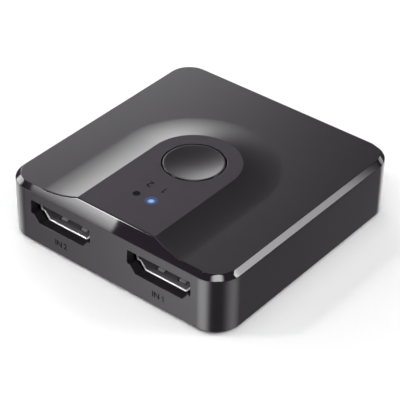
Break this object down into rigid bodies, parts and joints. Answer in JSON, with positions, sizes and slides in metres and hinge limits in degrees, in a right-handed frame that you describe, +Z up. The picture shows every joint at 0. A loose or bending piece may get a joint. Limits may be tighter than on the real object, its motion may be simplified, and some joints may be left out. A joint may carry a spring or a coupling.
{
  "type": "hdmi switch box",
  "caption": "Flat rounded desk box that switches video inputs in its front wall to an output behind, with a dished push button and indicator lights on a raised pad.",
  "frame": {"origin": "middle of the footprint, on the surface that the feet stand on", "axes": "+Z up through the button, -Y out of the wall with the inputs, +X to the right seen from that side"},
  "size_m": [0.056, 0.0576, 0.0154],
  "materials": {
    "housing": "satin moulded, polished bevel",
    "cover": "fine moulded texture",
    "button": "satin moulded",
    "foot": "matte",
    "dark_screw": "black zinc",
    "bright_screw": "bright zinc",
    "lit_pipe": "clear, lit blue from below",
    "dark_pipe": "clear, unlit",
    "lamp": "clear resin on white",
    "port_steel": "bright tin plate",
    "port_plastic": "moulded",
    "gold": "gold flash",
    "board": "solder mask",
    "key_plastic": "moulded",
    "key_metal": "rolled",
    "tin": "tin plate",
    "chip": "moulded epoxy",
    "capacitor": "fired ceramic",
    "resistor": "glazed"
  },
  "bodies": {
    "case": {"upper_housing": "housing", "bottom_cover": "cover", "cover_screws": "dark_screw", "rubber_feet": "foot", "light_pipe_1": "lit_pipe", "light_pipe_2": "dark_pipe", "lamp_1": "lamp", "lamp_2": "lamp", "circuit_board": "board", "board_screws": "bright_screw", "key_base": "key_plastic", "key_cover": "key_metal", "key_dome": "key_metal", "key_terminals": "tin", "switch_chip": "chip", "switch_chip_pads": "tin", "control_chip": "chip", "control_chip_leads": "tin", "regulator": "chip", "regulator_leads": "tin", "surge_arrays": "chip", "capacitors": "capacitor", "resistors": "resistor", "input_1_shell": "port_steel", "input_1_insulator": "port_plastic", "input_1_contacts": "gold", "input_2_shell": "port_steel", "input_2_insulator": "port_plastic", "input_2_contacts": "gold", "output_shell": "port_steel", "output_insulator": "port_plastic", "output_contacts": "gold"},
    "button": {"push_button": "button"},
    "plunger": {"key_plunger": "key_plastic"}
  },
  "joints": [
    {"name": "button_press", "type": "slide", "parent": "case", "child": "button", "axis": [0, 0, -1], "range_m": [0, 0.00035], "stiffness_N_per_m": 4000},
    {"name": "key_press", "type": "slide", "parent": "case", "child": "plunger", "axis": [0, 0, -1], "range_m": [0, 0.00035], "deforming": ["key_dome"]}
  ],
  "couplings": [
    {"joint": "key_press", "follows": "button_press", "ratio": 1}
  ]
}
